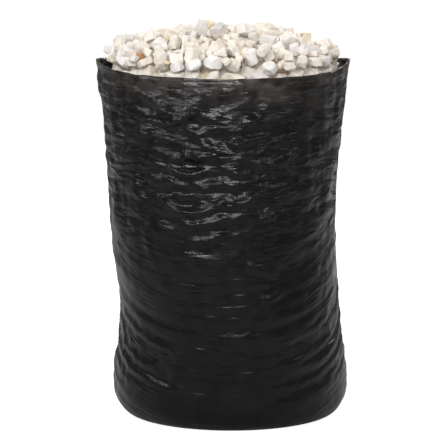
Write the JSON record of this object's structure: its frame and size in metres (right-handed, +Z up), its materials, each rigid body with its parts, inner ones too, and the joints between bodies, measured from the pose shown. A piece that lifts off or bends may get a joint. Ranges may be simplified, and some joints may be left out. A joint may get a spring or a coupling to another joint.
{
  "type": "packing peanut bag",
  "caption": "Open black film sack standing upright on its flat bottom, filled with loose chopped foam that is heaped above its rim.",
  "frame": {"origin": "middle of the sack's flat bottom, on the surface that it stands on", "axes": "+Z up through the open mouth, -Y towards the front, +X to the right as seen from the front"},
  "size_m": [0.5283, 0.484, 0.8335],
  "materials": {
    "black_film": "thin glossy black film, crumpled",
    "foam_mass": "chopped foam, cream to white",
    "white_foam": "chopped foam, white",
    "cream_foam": "chopped foam, cream",
    "grey_foam": "chopped foam, pale grey",
    "yellow_foam": "chopped foam, aged yellow",
    "orange_foam": "chopped foam, aged orange brown",
    "olive_foam": "chopped foam, olive"
  },
  "bodies": {
    "root": {"cream_chunk_04": "cream_foam", "cream_chunk_07": "cream_foam", "cream_chunk_09": "cream_foam", "cream_chunk_12": "cream_foam", "cream_chunk_13": "cream_foam", "cream_chunk_14": "cream_foam", "cream_chunk_16": "cream_foam", "cream_chunk_18": "cream_foam", "cream_chunk_21": "cream_foam", "cream_chunk_23": "cream_foam", "cream_chunk_24": "cream_foam", "cream_chunk_26": "cream_foam", "cream_chunk_29": "cream_foam", "cream_chunk_31": "cream_foam", "cream_chunk_36": "cream_foam", "cream_chunk_39": "cream_foam", "cream_chunk_42": "cream_foam", "cream_chunk_43": "cream_foam", "cream_chunk_44": "cream_foam", "cream_chunk_46": "cream_foam", "cream_chunk_50": "cream_foam", "cream_chunk_51": "cream_foam", "cream_chunk_52": "cream_foam", "cream_chunk_56": "cream_foam", "film_sack": "black_film", "grey_chunk_19": "grey_foam", "grey_chunk_38": "grey_foam", "grey_chunk_40": "grey_foam", "grey_chunk_41": "grey_foam", "grey_chunk_45": "grey_foam", "grey_chunk_47": "grey_foam", "grey_chunk_54": "grey_foam", "grey_chunk_55": "grey_foam", "loose_fill": "foam_mass", "olive_chunk_33": "olive_foam", "olive_chunk_34": "olive_foam", "orange_chunk_32": "orange_foam", "white_chunk_01": "white_foam", "white_chunk_02": "white_foam", "white_chunk_03": "white_foam", "white_chunk_05": "white_foam", "white_chunk_06": "white_foam", "white_chunk_08": "white_foam", "white_chunk_10": "white_foam", "white_chunk_11": "white_foam", "white_chunk_15": "white_foam", "white_chunk_17": "white_foam", "white_chunk_22": "white_foam", "white_chunk_25": "white_foam", "white_chunk_27": "white_foam", "white_chunk_30": "white_foam", "white_chunk_35": "white_foam", "white_chunk_37": "white_foam", "white_chunk_48": "white_foam", "white_chunk_49": "white_foam", "white_chunk_53": "white_foam", "white_chunk_57": "white_foam", "white_chunk_58": "white_foam", "yellow_chunk_20": "yellow_foam", "yellow_chunk_28": "yellow_foam"}
  },
  "joints": []
}
